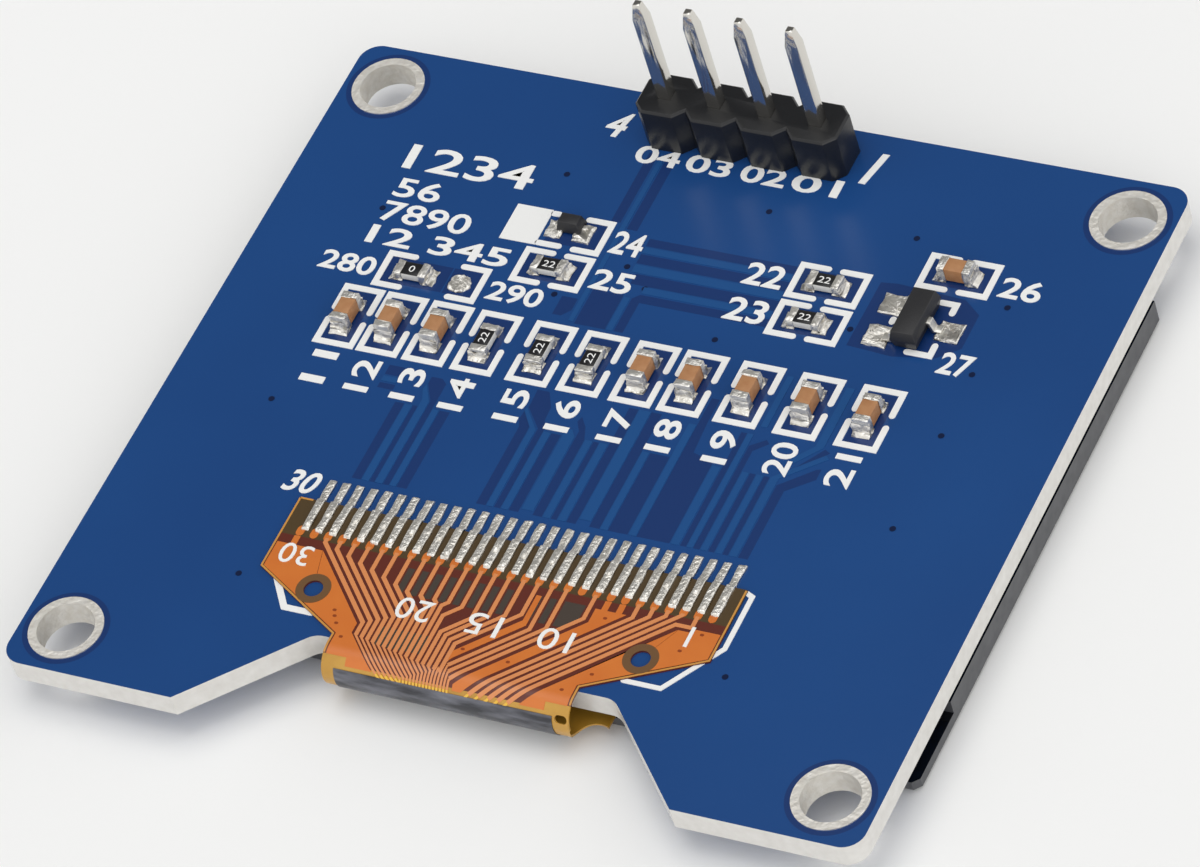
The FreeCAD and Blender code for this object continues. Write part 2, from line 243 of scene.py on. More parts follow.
def band(x0, x1, y0, y1):
    """A rectangle's outline."""
    return [(x0, y0), (x1, y0), (x1, y1), (x0, y1)]


board_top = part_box("circuit_board")[1].z / MM
print_low = board_top - 0.002
gap_level = board_top + 0.003
track_level = board_top + 0.02
bus_foot = -5.55
bus_head = -1.0
gap_finish = new_finish("solder_mask_over_bare_laminate", "#12336A", roughness=0.25, IOR=1.5)[0]
track_finish = new_finish("solder_mask_over_copper_track", "#1A4D87", roughness=0.22, IOR=1.5)[0]

straight_gaps = [(-9.77, -9.32), (-8.86, -8.64), (-7.5, -7.0), (-1.86, -1.4), (0.23, 0.5), (3.05, 4.0),
                 (7.95, 8.23), (8.64, 8.9)]
gaps = [band(x0, x1, bus_foot, bus_head) for x0, x1 in straight_gaps]
gaps += [band(1.0, 1.45, bus_foot, 1.2), band(2.12, 2.62, bus_foot, 1.2),
         band(6.58, 6.86, bus_foot, 1.1), band(-11.0, -10.2, 0.4, 0.95), band(-11.0, -10.2, -0.4, -0.1)]
gaps += [
    [(-8.18, bus_foot), (-7.9, bus_foot), (-7.9, 0.5), (-8.2, 0.75), (-8.75, 0.75), (-8.75, 0.35),
     (-8.18, -0.6)],
    [(-3.5, bus_foot), (-3.03, bus_foot), (-3.03, -0.9), (-3.65, -0.1), (-3.7, -0.6), (-3.5, -1.0)],
    [(-2.6, bus_foot), (-2.3, bus_foot), (-2.3, -0.8), (-2.5, -0.4), (-2.55, 0.4), (-3.0, 1.2),
     (-3.6, 1.2), (-3.55, 0.15), (-2.6, -0.9)],
    [(-0.68, bus_foot), (-0.23, bus_foot), (-0.23, -1.0), (-0.5, -0.3), (-0.9, 0.2), (-1.0, -0.1),
     (-0.68, -0.6)],
    [(4.45, bus_foot), (6.05, bus_foot), (6.05, -0.8), (4.95, -0.5), (4.85, 1.2), (4.85, 2.6),
     (4.45, 2.6)],
    [(7.22, bus_foot), (7.52, bus_foot), (7.52, 0.2), (8.1, 0.75), (7.9, 0.95), (7.25, 0.45)],
    [(9.4, bus_foot), (9.86, bus_foot), (9.86, -1.6), (11.0, -0.65), (11.0, -0.05), (10.8, -0.1),
     (9.4, -1.35)],
    [(9.75, -0.3), (10.0, -0.35), (11.0, 0.9), (10.7, 1.05)],
    band(-4.6, -4.12, 11.3, 15.6), band(-3.66, -3.14, 11.0, 15.6),
    band(-2.35, 5.1, 10.25, 10.7), band(-2.35, 5.1, 9.2, 9.75), band(-2.1, 5.1, 8.0, 8.6),
    band(-1.35, 5.1, 7.02, 7.48),
    [(-1.65, 5.2), (-1.2, 5.2), (-1.2, 7.02), (-1.35, 7.02), (-1.35, 7.48), (-1.65, 7.2)],
    [(-3.65, 5.2), (-2.1, 5.2), (-2.1, 7.3), (-3.65, 7.3)],
    [(-4.9, 5.5), (-4.45, 5.5), (-4.1, 5.9), (-4.1, 6.6), (-4.9, 6.6)],
    [(9.15, 6.9), (11.4, 6.75), (13.4, 7.1), (14.35, 7.9), (14.35, 9.9), (13.4, 10.6), (10.0, 10.8),
     (9.2, 10.7)],
]
row_x = [-14.2, -11.95, -9.6, -7.13, -4.33, -1.76, 0.86, 3.26, 6.05, 8.98, 11.96]
row_middle = 3.17
gaps += [band(x - 0.7, x + 0.7, row_middle - 1.45, row_middle + 1.45) for x in row_x]
flat_parts = [(12.56, 11.83), (6.92, 9.96), (6.92, 7.7), (-6.04, 7.93)]
gaps += [band(x - 1.45, x + 1.45, y - 0.7, y + 0.7) for x, y in flat_parts]
gaps += [band(-13.75, -10.62, 5.48, 6.98), band(-10.55, -9.08, 5.48, 6.98),
         band(-7.2, -4.55, 9.44, 10.94)]
gap_piece = cut_sheet("bare_gaps", gaps, print_low, gap_level)
finish_piece(gap_piece, gap_finish)

straight_tracks = [(-9.27, -8.9), (-7.86, -7.54), (-2.26, -1.9), (-0.18, 0.18), (0.55, 0.95),
                   (2.66, 3.01), (6.1, 6.52), (7.57, 7.9), (8.28, 8.6), (8.95, 9.34)]
tracks = [band(x0, x1, bus_foot, bus_head) for x0, x1 in straight_tracks]
tracks += [band(1.5, 2.08, bus_foot + 0.3, 1.2), band(4.05, 4.42, bus_foot, 1.0),
           band(6.9, 7.19, bus_foot, 1.1),
           band(-3.99, -3.74, 5.3, 15.6), band(-2.35, 5.1, 9.82, 10.18), band(-2.35, 5.1, 8.66, 9.12),
           band(-1.35, 5.1, 7.56, 7.94), band(-2.04, -1.72, 5.2, 7.2), band(-11.0, -10.2, 0.0, 0.3),
           band(7.3, 7.62, 1.6, 4.6), band(10.2, 10.6, 1.1, 4.6)]
tracks += [
    [(-8.6, bus_foot), (-8.22, bus_foot), (-8.22, -0.65), (-8.78, 0.3), (-8.85, 0.0), (-8.6, -0.6)],
    [(-2.98, bus_foot), (-2.66, bus_foot), (-2.66, -1.0), (-3.6, 0.12), (-3.68, -0.05), (-2.98, -0.95)],
    [(-1.32, bus_foot + 0.2), (-0.74, bus_foot + 0.2), (-0.74, -0.95), (-1.0, -0.6), (-1.32, -0.6)],
    [(10.6, 1.1), (10.2, 1.1), (9.35, 0.15), (9.6, -0.05)],
    [(8.95, bus_head), (9.34, bus_head), (11.1, 0.55), (10.9, 0.75)],
]
track_piece = cut_sheet("copper_tracks", tracks, print_low, track_level)
finish_piece(track_piece, track_finish)


# The vias are drilled and plated through the board and closed by the mask, which sinks in over each
# of them and looks nearly black there.
via_places = [(-7.87, 13.47), (2.42, 13.47), (9.76, 13.5), (15.42, 10.6), (15.4, 6.6), (15.45, 3.0),
              (15.45, -2.4), (-15.55, -2.2), (-12.38, -11.85), (3.15, 5.8), (-2.67, 8.9), (-1.29, 7.85),
              (8.95, 7.8), (-5.3, 6.6), (11.6, -11.8), (-15.6, 9.6), (-15.4, 5.9)]
via_radius = 0.17
via_rim = 0.05


def select_top(piece):
    """Selects the faces of a mesh that look up and lie highest."""
    top = max(v.co.z for v in piece.data.vertices)
    for face in piece.data.polygons:
        face.select = face.normal.z > 0.9 and face.center.z > top - 0.001


def merged(pieces, name):
    """Joins objects into one mesh."""
    bpy.ops.object.select_all(action="DESELECT")
    for piece in pieces:
        piece.select_set(True)
    bpy.context.view_layer.objects.active = pieces[0]
    bpy.ops.object.join()
    pieces[0].name = name
    return pieces[0]


def copies(model, places):
    """Copies of a piece, each with its own mesh, moved to their places in the board's plane."""
    made = []
    for x, y in places:
        copy = bpy.data.objects.new(model.name, model.data.copy())
        copy.data.transform(Matrix.Translation((x, y, 0)))
        bpy.context.collection.objects.link(copy)
        made.append(copy)
    bpy.data.objects.remove(model)
    return made


bpy.ops.object.select_all(action="DESELECT")
bpy.ops.mesh.primitive_cylinder_add(vertices=20, radius=via_radius, depth=0.03,
                                    location=(0, 0, board_top + 0.01))
via = bpy.context.active_object
bpy.ops.object.transform_apply(location=True, rotation=True, scale=True)
select_top(via)
bpy.ops.object.mode_set(mode="EDIT")
bpy.ops.mesh.select_mode(type="FACE")
bpy.ops.mesh.inset(thickness=via_rim, depth=-0.02)
bpy.ops.object.mode_set(mode="OBJECT")
via_piece = merged(copies(via, via_places), "closed_vias")
via_finish = new_finish("solder_mask_sunk_in_via", "#0E1C3E", roughness=0.12, IOR=1.5)[0]
finish_piece(via_piece, via_finish)


# The parts' frames and the marks round the tail are printed in white ink through a screen. The ink is
# matt and a hair thick, and its lines end round.
def half_round(middle, start, radius, steps=5):
    """The points that close a line's end on a half circle, clockwise from its first corner."""
    angle = math.atan2(start.y - middle.y, start.x - middle.x)
    turns = [angle - math.pi * (k + 1) / (steps + 1) for k in range(steps)]
    return [Vector((middle.x + radius * math.cos(a), middle.y + radius * math.sin(a))) for a in turns]


def widened(path, width, round_ends=True):
    """The outline of a line of one width along a path, with mitred corners."""
    points = [Vector(p) for p in path]
    left = []
    right = []
    for i, point in enumerate(points):
        ahead = (points[i + 1] - point).normalized() if i + 1 < len(points) else None
        behind = (point - points[i - 1]).normalized() if i else None
        along = (ahead + behind).normalized() if ahead and behind else ahead or behind
        reach = width / 2 / along.dot(ahead or behind)
        across = Vector((-along.y, along.x)) * reach
        left.append(point + across)
        right.append(point - across)
    if not round_ends:
        outline = left + right[::-1]
    else:
        outline = (left + half_round(points[-1], left[-1], width / 2) + right[::-1]
                   + half_round(points[0], right[0], width / 2))
    return [(p.x, p.y) for p in outline]


def frame_halves(x, y, long_half, short_half, opening, upright=False):
    """The two halves of a part's printed frame, open at the middle of its long sides."""
    halves = []
    for side in (-1, 1):
        path = [(side * opening / 2, -short_half), (side * long_half, -short_half),
                (side * long_half, short_half), (side * opening / 2, short_half)]
        if upright:
            path = [(-b, a) for a, b in path]
        halves.append([(x + a, y + b) for a, b in path])
    return halves


ink_finish, ink_shader = new_finish("screen_ink_white_matt", "#F0F0EE", roughness=0.6)
roughen(ink_finish, ink_shader, size=0.15, depth=0.006)
ink_low = board_top + 0.002
ink_high = board_top + 0.035
ink_line = 0.31
marks = []
for x in row_x:
    marks += frame_halves(x, row_middle, long_half=1.65, short_half=0.9, opening=0.72, upright=True)
for x, y in flat_parts:
    marks += frame_halves(x, y, long_half=1.62, short_half=0.9, opening=0.72)
marks += frame_halves(-11.42, 6.23, long_half=2.5, short_half=0.92, opening=2.5)
marks += [[(-5.6, 11.1), (-4.42, 11.1), (-4.42, 9.28), (-5.6, 9.28)], [(-7.4, 11.1), (-7.15, 11.1)],
          [(-7.4, 9.3), (-6.35, 9.3)],
          [(12.4, 10.2), (13.12, 10.2), (13.12, 9.7)], [(12.0, 7.15), (13.12, 7.15), (13.12, 7.75)],
          [(10.65, 8.78), (10.65, 8.62)],
          [(-10.5, -11.7), (-9.45, -13.1), (-8.05, -13.1)]]
ink_outlines = [widened(path, ink_line) for path in marks]
ink_outlines.append(band(-9.34, -7.5, 9.15, 11.28))
right_bracket = [(10.6, -7.3), (10.95, -7.45), (10.95, -10.4), (9.1, -13.1), (7.3, -13.1)]
ink_outlines.append(widened(right_bracket, 0.24))
ink_piece = cut_sheet("printed_marks", ink_outlines, ink_low, ink_high)
finish_piece(ink_piece, ink_finish)


# Plain counting numbers stand where a board is lettered: beside the parts, along the header, in the
# top left corner and at the last contact of the tail. They are printed with the same ink.
def number(words, x0, x1, y0, y1, turn=0.0, slant=0.0, weight=0.03, level=board_top + 0.015):
    """A number that fills a box in the board's plane; turned ones are drawn upright and then turned."""
    bpy.ops.object.select_all(action="DESELECT")
    bpy.ops.object.text_add()
    piece = bpy.context.active_object
    piece.data.body = words
    piece.data.size = 1.6
    piece.data.align_x = "CENTER"
    piece.data.align_y = "CENTER"
    piece.data.shear = slant
    piece.data.offset = weight
    piece.data.extrude = 0.017
    piece.data.resolution_u = 4
    bpy.ops.object.convert(target="MESH")
    xs = [v.co.x for v in piece.data.vertices]
    ys = [v.co.y for v in piece.data.vertices]
    wide, high = (x1 - x0, y1 - y0) if turn in (0.0, 180.0) else (y1 - y0, x1 - x0)
    centre = Matrix.Translation((-(min(xs) + max(xs)) / 2, -(min(ys) + max(ys)) / 2, 0))
    fit = Matrix.Diagonal((wide / (max(xs) - min(xs)), high / (max(ys) - min(ys)), 1, 1))
    place = Matrix.Translation(((x0 + x1) / 2, (y0 + y1) / 2, level))
    piece.data.transform(place @ Matrix.Rotation(math.radians(turn), 4, "Z") @ fit @ centre)
    return piece


numbers = [number(str(11 + i), x - 0.65, x + 0.6, -0.85, 1.0, 90.0) for i, x in enumerate(row_x)]
numbers += [
    number("22", 2.87, 4.8, 9.2, 10.5), number("23", 2.87, 4.85, 7.05, 8.4),
    number("24", -3.97, -2.42, 9.49, 10.83), number("25", -3.96, -1.95, 7.3, 8.5),
    number("26", 14.66, 16.64, 11.1, 12.3), number("27", 13.7, 15.25, 6.3, 7.57),
    number("280", -17.1, -14.3, 5.6, 6.7), number("290", -8.45, -5.7, 5.6, 6.7),
    number("1234", -15.85, -9.26, 12.1, 13.6, weight=0.02),
    number("56", -15.55, -13.2, 10.4, 11.55, weight=0.02),
    number("7890", -15.55, -11.0, 8.9, 10.1, weight=0.02), number("12 345", -15.55, -8.3, 7.5, 8.6),
    number("4", -7.33, -6.24, 16.1, 17.6, slant=0.25), number("1", 5.75, 6.54, 16.0, 17.9, slant=0.25),
    number("04", -5.2, -2.95, 14.9, 15.95), number("03", -2.62, -0.35, 14.9, 15.95),
    number("02", 0.15, 2.43, 14.9, 15.95), number("01", 2.72, 5.15, 14.9, 15.95),
    number("30", -12.75, -11.05, -6.95, -5.7, slant=0.25),
]
number_piece = merged(numbers, "printed_numbers")
finish_piece(number_piece, ink_finish)


# The mounting holes are plated through and tinned by a hot-air dip, which leaves the rings bright and
# slightly lumpy. Round each ring there is a strip without copper under the mask, which looks dark.
ring_tin, ring_tin_shader = new_finish("tin_plated_copper_levelled", "#E0DCD2", roughness=0.5,
                                       metallic=0.75)
join(ring_tin, blend_colours(ring_tin, grain_of(ring_tin, 0.35), "#DDD7CB", "#FAF8F3"),
     ring_tin_shader.inputs["Base Color"])
roughen(ring_tin, ring_tin_shader, size=0.25, depth=0.05)


def ring(name, x, y, inner, outer, low, high, steps=56):
    """A flat ring: four circles joined by bands of faces."""
    turns = [2 * math.pi * k / steps for k in range(steps)]
    mesh = bpy.data.meshes.new(name)
    drawing = bmesh.new()
    rims = [[drawing.verts.new((x + radius * math.cos(turn), y + radius * math.sin(turn), level))
             for turn in turns]
            for radius, level in ((inner, low), (outer, low), (outer, high), (inner, high))]
    for first, second in zip(rims, rims[1:] + rims[:1]):
        for k in range(steps):
            drawing.faces.new((first[k - 1], first[k], second[k], second[k - 1]))
    bmesh.ops.recalc_face_normals(drawing, faces=drawing.faces)
    drawing.to_mesh(mesh)
    drawing.free()
    piece = bpy.data.objects.new(name, mesh)
    bpy.context.collection.objects.link(piece)
    return piece


halo_inner = 1.76
halo_outer = 2.02
halos = []
for i in range(1, 5):
    dress("plated_hole_%d" % i, ring_tin)
    low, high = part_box("plated_hole_%d" % i)
    middle = (low + high) / 2 / MM
    halos.append(ring("halo", middle.x, middle.y, halo_inner, halo_outer, print_low, gap_level))
halo_piece = merged(halos, "hole_halos")
finish_piece(halo_piece, gap_finish)


# The chips are baked ceramic blocks, tan for the capacitors and white with a dark glazed top for the
# resistors, with corners that a tumbling drum has softened. Their ends are dipped in silver and
# tinned, bright and a little lumpy.
def copy_of(node_names, name):
    """The shapes of some CAD nodes as one object in millimetres, triangles merged to whole faces."""
    pieces = []
    for node_name in node_names:
        piece = bpy.data.objects.new(name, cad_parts[node_name].data.copy())
        piece.data.transform(Matrix.Scale(1 / MM, 4))
        bpy.context.collection.objects.link(piece)
        pieces.append(piece)
    piece = merged(pieces, name)
    only(piece)
    bpy.ops.object.mode_set(mode="EDIT")
    bpy.ops.mesh.select_all(action="SELECT")
    bpy.ops.mesh.remove_doubles(threshold=0.0005)
    bpy.ops.mesh.dissolve_limited(angle_limit=math.radians(1.0))
    bpy.ops.mesh.normals_make_consistent(inside=False)
    bpy.ops.object.mode_set(mode="OBJECT")
    return piece


def soften(piece, width, segments=2, smooth=40.0):
    """Rounds the edges of a mesh and shades it smooth."""
    only(piece)
    rounding = piece.modifiers.new("rounding", "BEVEL")
    rounding.width = width
    rounding.segments = segments
    rounding.limit_method = "ANGLE"
    rounding.angle_limit = math.radians(25.0)
    bpy.ops.object.modifier_apply(modifier="rounding")
    bpy.ops.object.shade_smooth_by_angle(angle=math.radians(smooth))


def lump(piece, cuts, size, depth):
    """Makes a surface uneven as set solder is: finer faces, each point moved along its normal."""
    only(piece)
    bpy.ops.object.mode_set(mode="EDIT")
    bpy.ops.mesh.select_all(action="SELECT")
    bpy.ops.mesh.subdivide(number_cuts=cuts, smoothness=0.0)
    bpy.ops.object.mode_set(mode="OBJECT")
    shifts = [point.normal * depth * noise.noise(point.co / size) for point in piece.data.vertices]
    for point, shift in zip(piece.data.vertices, shifts):
        point.co += shift
    bpy.ops.object.shade_smooth_by_angle(angle=math.radians(60.0))


capacitor_finish, capacitor_shader = new_finish("barium_titanate_ceramic_baked", "#B67F4E",
                                                roughness=0.5)
capacitor_tone = blend_colours(capacitor_finish, grain_of(capacitor_finish, 0.3), "#A46F45", "#B8885D")
join(capacitor_finish, capacitor_tone, capacitor_shader.inputs["Base Color"])
resistor_finish, resistor_shader = new_finish("alumina_ceramic_glazed_top", "#1B1B1D", roughness=0.3)
resistor_up = add_node(resistor_finish, "ShaderNodeSeparateXYZ",
                       Vector=add_node(resistor_finish, "ShaderNodeNewGeometry").outputs["Normal"])
glazed = reckon(resistor_finish, "GREATER_THAN", resistor_up.outputs["Z"], 0.6)
join(resistor_finish, blend_colours(resistor_finish, glazed, "#DAD9D4", "#161618"),
     resistor_shader.inputs["Base Color"])
end_finish, end_shader = new_finish("silver_end_tinned", "#ECE9E2", roughness=0.4, metallic=1.0)
roughen(end_finish, end_shader, size=0.2, depth=0.05)
for kind, count, finish, slot_name in (("capacitor", 9, capacitor_finish, "capacitor_ceramic"),
                                       ("resistor", 7, resistor_finish, "resistor_ceramic")):
    for i in range(1, count + 1):
        body_name = "%s_%d_body" % (kind, i)
        ends_name = "%s_%d_ends" % (kind, i)
        body = copy_of([body_name], "%s_%d_ceramic" % (kind, i))
        soften(body, width=0.03)
        finish_piece(body, finish)
        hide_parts(body_name)
        ends = copy_of([ends_name], "%s_%d_caps" % (kind, i))
        soften(ends, width=0.05)
        lump(ends, cuts=2, size=0.25, depth=0.05)
        finish_piece(ends, end_finish)
        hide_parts(ends_name)

digit_height = 0.36
digits = []
for i in range(1, 8):
    low, high = (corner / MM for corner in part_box("resistor_%d_body" % i))
    middle = (low + high) / 2
    upright = high.y - low.y > high.x - low.x
    half_x, half_y = (digit_height / 2, 0.3) if upright else (0.3, digit_height / 2)
    words = "0" if i == 7 else "22"
    if i == 7:
        half_x = 0.14
    digits.append(number(words, middle.x - half_x, middle.x + half_x, middle.y - half_y,
                         middle.y + half_y, 90.0 if upright else 0.0, weight=0.0,
                         level=high.z - 0.008))
digit_piece = merged(digits, "chip_numbers")
finish_piece(digit_piece, ink_finish)


# The chips, the regulator and the diode are soldered in an oven: the paste melts and climbs their
# ends in hollow fillets. It sets with small lumps, and is glossier than the dipped rings.
tin_finish, tin_shader = new_finish("tin_solder_set", "#E0DCD2", roughness=0.36, metallic=0.9)
join(tin_finish, blend_colours(tin_finish, grain_of(tin_finish, 0.35), "#D9D3C7", "#F8F6F1"),
     tin_shader.inputs["Base Color"])
roughen(tin_finish, tin_shader, size=0.17, depth=0.06)
chip_solder = copy_of(["chip_solder"], "chip_joints")
soften(chip_solder, width=0.05)
lump(chip_solder, cuts=2, size=0.22, depth=0.12)
finish_piece(chip_solder, tin_finish)
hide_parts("chip_solder")


# The regulator and the diode are chips of silicon moulded in black epoxy, slightly rough from the
# mould, on leads of tinned copper.
mould_finish, mould_shader = new_finish("black_epoxy_moulded", "#242426", roughness=0.42)
roughen(mould_finish, mould_shader, size=0.08, depth=0.01)
lead_finish, lead_shader = new_finish("copper_lead_tinned", "#E2DFD7", roughness=0.4, metallic=1.0)
roughen(lead_finish, lead_shader, size=0.25, depth=0.03)
for part, width in (("regulator", 0.05), ("diode", 0.03)):
    body = copy_of([part + "_body"], part + "_mould")
    soften(body, width)
    finish_piece(body, mould_finish)
    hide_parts(part + "_body")
    leads = copy_of([part + "_leads"], part + "_legs")
    soften(leads, width=0.03)
    finish_piece(leads, lead_finish)
    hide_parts(part + "_leads")


# The header is a strip of black nylon cells moulded in one, with square brass pins pressed through
# it. The pins are tin plated, bright enough to mirror the board, and stamped to a point.
nylon_finish, nylon_shader = new_finish("black_nylon_moulded", "#111215", roughness=0.36)
roughen(nylon_finish, nylon_shader, size=0.25, depth=0.006)
strip = copy_of(["header_strip"], "header_cells")
soften(strip, width=0.05)
finish_piece(strip, nylon_finish)
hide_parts("header_strip")

pin_finish, pin_shader = new_finish("brass_pin_tin_plated", "#DAD7D0", roughness=0.12, metallic=1.0)
roughen(pin_finish, pin_shader, size=0.5, depth=0.002)
for i in range(1, 5):
    pin = copy_of(["header_pin_%d" % i], "header_post_%d" % i)
    soften(pin, width=0.035)
    finish_piece(pin, pin_finish)
    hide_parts("header_pin_%d" % i)
dress("header_solder", tin_finish)


# The tail is copper foil etched to lines between two amber polyimide films. Under the cover film the
# copper looks orange, the bare film between lines dark red, and the empty film brown. It is folded
# once.
tail_low, tail_high = (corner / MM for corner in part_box("flex_tail"))
fold_radius = (tail_high.z - tail_low.z) / 2
fold_y = tail_low.y + fold_radius
fold_z = tail_low.z + fold_radius

film_finish, film_shader = new_finish("polyimide_film_amber_gloss", "#5A2412", roughness=0.3, IOR=1.6)
spot = add_node(film_finish, "ShaderNodeSeparateXYZ", Vector=place_of(film_finish))
bare_from = -9.3
copper_middle = -0.5
copper_half = 4.9
bend_start_ends = fold_y - 0.5
bend_start_middle = fold_y - 0.84
under_level = tail_high.z - 0.3
near_pads = reckon(film_finish, "GREATER_THAN", spot.outputs["Y"], bare_from * MM)
off_middle = reckon(film_finish, "ABSOLUTE",
                    reckon(film_finish, "ADD", spot.outputs["X"], -copper_middle * MM))
at_ends = reckon(film_finish, "GREATER_THAN", off_middle, copper_half * MM)
bent_ends = reckon(film_finish, "MULTIPLY", at_ends,
                   reckon(film_finish, "LESS_THAN", spot.outputs["Y"], bend_start_ends * MM))
bent = reckon(film_finish, "MAXIMUM", bent_ends,
              reckon(film_finish, "LESS_THAN", spot.outputs["Y"], bend_start_middle * MM))
sunken = reckon(film_finish, "LESS_THAN", spot.outputs["Z"], under_level * MM)
flat_tone = blend_colours(film_finish, near_pads, "#5E2110", "#4C3A1C")
bend_tone = blend_colours(film_finish, grain_of(film_finish, 1.2), "#A87412", "#D2A444")
bend_or_under = reckon(film_finish, "MAXIMUM", bent, sunken)
join(film_finish, blend_colours(film_finish, bend_or_under, flat_tone, bend_tone),
     film_shader.inputs["Base Color"])
dress("flex_tail", film_finish)


# The copper starts at the round ends of the 30 soldered pads. Lines run straight from them, turn by
# 45 degrees, and close up towards the bend; broad planes fill both sides and two bands run between
# the lines.
bend_cuts = 10
bend_step = 0.13
layer_low = tail_high.z - 0.002


def wrapped(piece):
    """Lays a sheet, drawn as if the tail were unfolded, round the bend."""
    only(piece)
    bpy.ops.object.mode_set(mode="EDIT")
    for k in range(bend_cuts):
        bpy.ops.mesh.select_all(action="SELECT")
        bpy.ops.mesh.bisect(plane_co=(0, fold_y - k * bend_step, 0), plane_no=(0, 1, 0))
    bpy.ops.object.mode_set(mode="OBJECT")
    for point in piece.data.vertices:
        reach = fold_y - point.co.y
        if reach > 0:
            radius = fold_radius + point.co.z - tail_high.z
            point.co.y = fold_y - radius * math.sin(reach / fold_radius)
            point.co.z = fold_z + radius * math.cos(reach / fold_radius)
    bpy.ops.object.shade_smooth_by_angle(angle=math.radians(30.0))
    return piece


def on_tail(name, outlines, rise, material):
    """A thin layer on the tail, from just under its surface up to a rise in millimetres."""
    piece = wrapped(cut_sheet(name, outlines, layer_low, tail_high.z + rise))
    finish_piece(piece, material)


# The lines are given a lighter copper than the planes. This is partly a painted sheen, where the cover
# film over their raised edges catches the light.
line_sheen_finish = new_finish("copper_line_under_film_painted_sheen", "#D98A52", roughness=0.3, IOR=1.6)[0]
plane_finish, plane_shader = new_finish("copper_plane_under_film", "#CE6C1E", roughness=0.35, IOR=1.6)
join(plane_finish, blend_colours(plane_finish, grain_of(plane_finish, 1.6), "#C9661B", "#D77A2A"),
     plane_shader.inputs["Base Color"])
pad_first = -10.62
pad_step = 0.704
pad_x = [pad_first + pad_step * i for i in range(30)]
pillar_first = -5.48
pillar_step = 0.307
neck_first = -4.28
neck_step = 0.245
end_last = -1.0
end_first = -0.66
end_step = 0.165
line_head = -9.1
line_foot = -15.42
gold_glint_foot = -15.62
wide_line = 0.2
fine_line = 0.1
joint_overlap = 0.05
waist_y = -11.0
neck_y = -15.0
waist_x = {i: -7.55 + 0.467 * (i - 2) for i in range(2, 10)}
turn_y = {10: -11.05, 11: -11.1, 12: -11.1, 13: -11.2, 14: -11.65, 15: -11.37, 16: -11.16, 17: -10.92}
wide_paths = []
fine_paths = []
gold_glint_paths = []
for i in range(2, 18):
    pillar_x = pillar_first + pillar_step * (i - 2)
    neck_x = neck_first + neck_step * (i - 2)
    end_x = end_last - end_step * (17 - i)
    start_y = waist_x[i] - pad_x[i] + waist_y if i in waist_x else turn_y[i]
    pillar_foot = neck_y + neck_x - pillar_x
    joint = [(pillar_x, pillar_foot + joint_overlap), (pillar_x, pillar_foot)]
    wide_paths.append([(pad_x[i], line_head), (pad_x[i], start_y),
                       (pillar_x, start_y - abs(pillar_x - pad_x[i])), (pillar_x, pillar_foot)])
    bend_y = neck_y - (end_x - neck_x)
    if bend_y > line_foot:
        fine_paths.append(joint + [(end_x, bend_y), (end_x, line_foot)])
        gold_glint_paths.append([(end_x, line_foot), (end_x, gold_glint_foot)])
    else:
        slide = neck_y - line_foot
        gold_glint_slide = neck_y - gold_glint_foot
        fine_paths.append(joint + [(neck_x + slide, line_foot)])
        gold_glint_paths.append([(neck_x + slide, line_foot), (neck_x + gold_glint_slide, gold_glint_foot)])
slant_x = {18: 0.65, 19: 1.13, 21: 1.61, 24: 3.15, 25: 3.63, 26: 4.12, 27: 4.59, 28: 5.06}
slant_y = -13.0
side_y = -9.75
for i, x in slant_x.items():
    head = [(pad_x[i], line_head), (pad_x[i], slant_y + pad_x[i] - x)]
    if i == 28:
        head = [(pad_x[i], line_head), (pad_x[i], side_y), (x + side_y - slant_y, side_y)]
    if i < 22:
        end_x = end_first + end_step * (i - 18 if i < 21 else 2)
        bend_y = slant_y - (x - end_x)
        wide_paths.append(head + [(end_x, bend_y)])
        fine_paths.append([(end_x, bend_y), (end_x, line_foot)])
        gold_glint_paths.append([(end_x, line_foot), (end_x, gold_glint_foot)])
    else:
        wide_paths.append(head + [(x + line_foot - slant_y, line_foot)])
        gold_glint_paths.append([(x + line_foot - slant_y, line_foot), (x + gold_glint_foot - slant_y, gold_glint_foot)])
band_end = -0.83
fine_paths.append([(-0.8, -14.05), (band_end, -14.2), (band_end, line_foot)])
gold_glint_paths.append([(band_end, line_foot), (band_end, gold_glint_foot)])
wide_lines = [widened(path, wide_line, False) for path in wide_paths]
fine_lines = [widened(path, fine_line, False) for path in fine_paths]
line_rise = 0.02
fine_rise = 0.018
on_tail("copper_lines", wide_lines, line_rise, line_sheen_finish)
on_tail("copper_fine_lines", fine_lines, fine_rise, line_sheen_finish)

hole_rim = 0.82
hole_radius = 0.45
hole_places = [(-8.55, -11.88), (7.6, -11.88)]


def pierced(outline, middle, radius, gap=0.01, steps=32):
    """An outline that runs in along a narrow slit, once round a hole, and out again."""
    near = min(range(len(outline)), key=lambda k: math.dist(outline[k], middle))
    corner = outline[near]
    towards_corner = math.atan2(corner[1] - middle[1], corner[0] - middle[0])
    area = sum(a[0] * b[1] - b[0] * a[1] for a, b in zip(outline, outline[1:] + outline[:1]))
    way = -1 if area > 0 else 1
    slit = gap / radius
    turns = [towards_corner + way * (slit + (2 * math.pi - 2 * slit) * k / steps)
             for k in range(steps + 1)]
    round_hole = [(middle[0] + radius * math.cos(t), middle[1] + radius * math.sin(t)) for t in turns]
    side = (-math.sin(towards_corner) * gap * way, math.cos(towards_corner) * gap * way)
    come = (corner[0] + side[0], corner[1] + side[1])
    leave = (corner[0] - side[0], corner[1] - side[1])
    return outline[:near] + [come] + round_hole + [leave] + outline[near + 1:]


